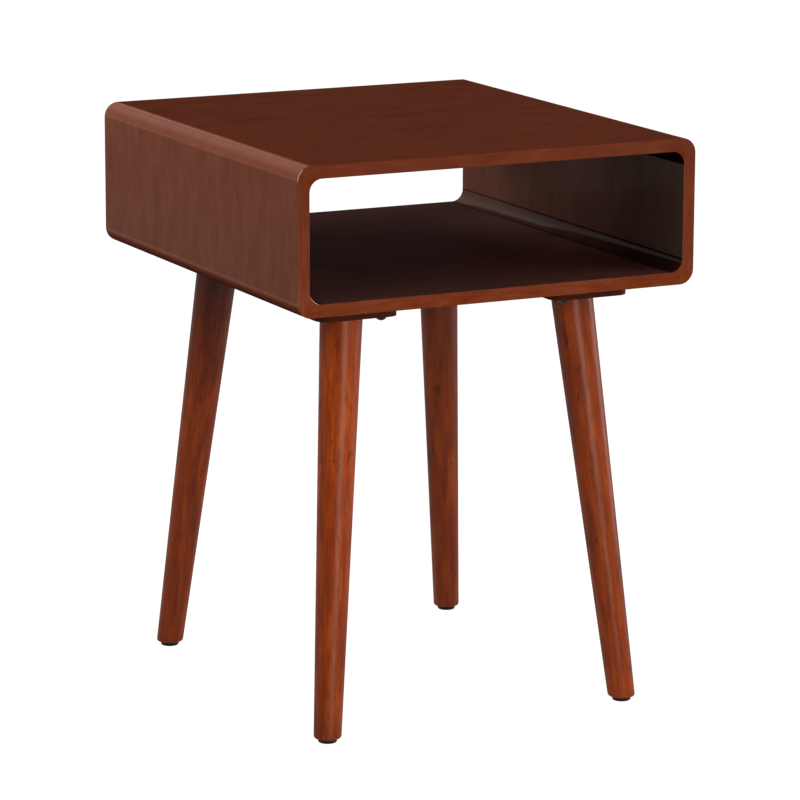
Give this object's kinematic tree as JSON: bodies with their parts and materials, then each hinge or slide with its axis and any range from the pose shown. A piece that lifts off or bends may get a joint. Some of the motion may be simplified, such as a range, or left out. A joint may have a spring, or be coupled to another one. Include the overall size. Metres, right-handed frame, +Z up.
{
  "type": "end table",
  "caption": "End table with a shelf open at front and rear in a rounded wooden case, on tapered legs that splay outwards.",
  "frame": {"origin": "on the floor, under the middle of the case", "axes": "+X to the right seen from the front, +Y towards the rear, +Z up"},
  "size_m": [0.4, 0.435, 0.535],
  "materials": {
    "case_wood": "satin brown stain",
    "leg_wood": "gloss reddish-brown stain",
    "block_wood": "dark stain",
    "dowel_wood": "bare beech",
    "black_bolt": "black, glossy",
    "zinc_steel": "zinc plated",
    "glide_plastic": "moulded"
  },
  "bodies": {
    "root": {"top_panel": "case_wood", "shelf_panel": "case_wood", "left_side_panel": "case_wood", "right_side_panel": "case_wood", "top_left_corner": "case_wood", "top_left_corner_dowels": "dowel_wood", "top_right_corner": "case_wood", "top_right_corner_dowels": "dowel_wood", "bottom_left_corner": "case_wood", "bottom_left_corner_dowels": "dowel_wood", "bottom_right_corner": "case_wood", "bottom_right_corner_dowels": "dowel_wood", "front_left_leg": "leg_wood", "front_left_leg_block": "block_wood", "front_left_block_bolts": "black_bolt", "front_left_block_inserts": "zinc_steel", "front_left_leg_dowels": "dowel_wood", "front_left_leg_screw": "zinc_steel", "front_left_glide": "glide_plastic", "front_left_glide_nail": "zinc_steel", "front_right_leg": "leg_wood", "front_right_leg_block": "block_wood", "front_right_block_bolts": "black_bolt", "front_right_block_inserts": "zinc_steel", "front_right_leg_dowels": "dowel_wood", "front_right_leg_screw": "zinc_steel", "front_right_glide": "glide_plastic", "front_right_glide_nail": "zinc_steel", "rear_left_leg": "leg_wood", "rear_left_leg_block": "block_wood", "rear_left_block_bolts": "black_bolt", "rear_left_block_inserts": "zinc_steel", "rear_left_leg_dowels": "dowel_wood", "rear_left_leg_screw": "zinc_steel", "rear_left_glide": "glide_plastic", "rear_left_glide_nail": "zinc_steel", "rear_right_leg": "leg_wood", "rear_right_leg_block": "block_wood", "rear_right_block_bolts": "black_bolt", "rear_right_block_inserts": "zinc_steel", "rear_right_leg_dowels": "dowel_wood", "rear_right_leg_screw": "zinc_steel", "rear_right_glide": "glide_plastic", "rear_right_glide_nail": "zinc_steel"}
  },
  "joints": []
}
